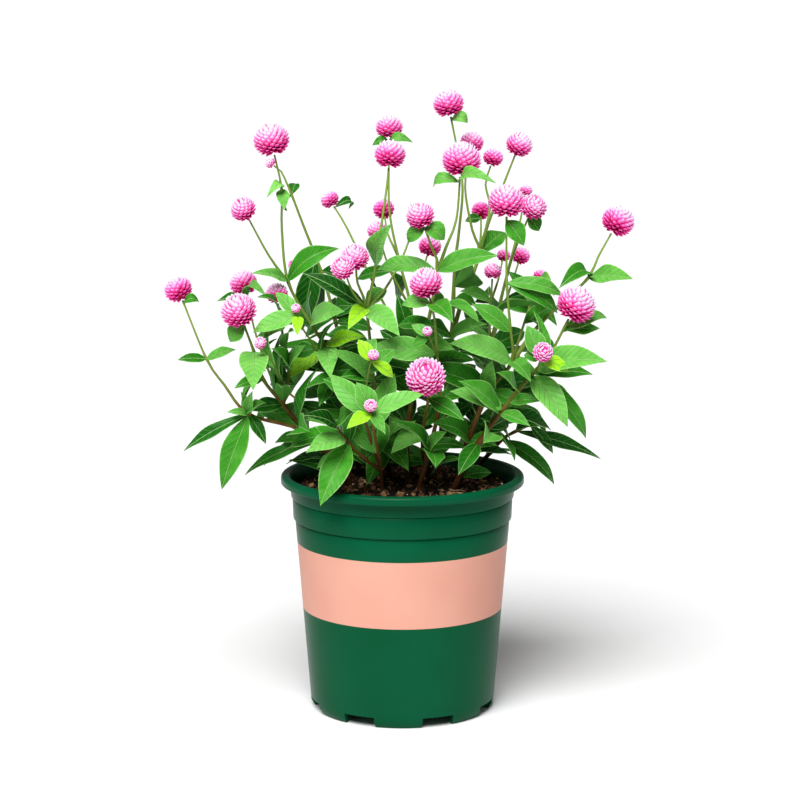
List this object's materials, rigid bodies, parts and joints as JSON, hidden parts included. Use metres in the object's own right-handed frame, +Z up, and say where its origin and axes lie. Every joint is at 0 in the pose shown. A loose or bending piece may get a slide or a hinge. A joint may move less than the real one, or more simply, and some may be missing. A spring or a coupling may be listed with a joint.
{
  "type": "potted globe amaranth",
  "caption": "Bushy flowering plant with round papery pink blooms on thin stems over opposite green leaves, standing in a tapered green plastic nursery pot of soil.",
  "frame": {"origin": "on the pot's axis, in the plane that its feet stand on", "axes": "+Z up, -Y towards the viewer of the front, +X to the right as seen from the front"},
  "size_m": [0.3239, 0.2163, 0.432],
  "materials": {
    "pot_plastic": "semi-gloss injection-moulded polypropylene, deep green with a printed peach-pink band",
    "potting_mix": "loose dark peat mix with bark bits and pale grains of perlite",
    "foliage": "soft matt-satin living leaf, mid green above and paler below, stems olive to red-brown",
    "bloom": "dry papery bracts, magenta at the foot and pale pink at the tip"
  },
  "bodies": {
    "root": {"pot": "pot_plastic", "soil": "potting_mix", "leafy_stem_01": "foliage", "leafy_stem_02": "foliage", "leafy_stem_03": "foliage", "leafy_stem_04": "foliage", "leafy_stem_05": "foliage", "leafy_stem_06": "foliage", "leafy_stem_07": "foliage", "leafy_stem_08": "foliage", "leafy_stem_09": "foliage", "leafy_stem_10": "foliage", "leafy_stem_11": "foliage", "leafy_stem_12": "foliage", "leafy_stem_13": "foliage", "leafy_stem_14": "foliage", "leafy_stem_15": "foliage", "leafy_stem_16": "foliage", "flower_head_01": "bloom", "flower_head_02": "bloom", "flower_head_03": "bloom", "flower_head_04": "bloom", "flower_head_05": "bloom", "flower_head_06": "bloom", "flower_head_07": "bloom", "flower_head_08": "bloom", "flower_head_09": "bloom", "flower_head_10": "bloom", "flower_head_11": "bloom", "flower_head_12": "bloom", "flower_head_13": "bloom", "flower_head_14": "bloom", "flower_head_15": "bloom", "flower_head_16": "bloom", "flower_head_17": "bloom", "flower_head_18": "bloom", "flower_head_19": "bloom", "flower_head_20": "bloom", "flower_head_21": "bloom", "flower_head_22": "bloom", "flower_head_23": "bloom", "flower_head_24": "bloom", "flower_head_25": "bloom", "flower_head_26": "bloom", "flower_head_27": "bloom", "flower_head_28": "bloom", "flower_head_29": "bloom", "flower_head_30": "bloom", "flower_head_31": "bloom", "flower_head_32": "bloom", "flower_head_33": "bloom", "flower_head_34": "bloom", "flower_head_35": "bloom", "flower_head_36": "bloom", "flower_head_37": "bloom", "flower_head_38": "bloom", "flower_head_39": "bloom", "flower_head_40": "bloom", "flower_head_41": "bloom"}
  },
  "joints": []
}
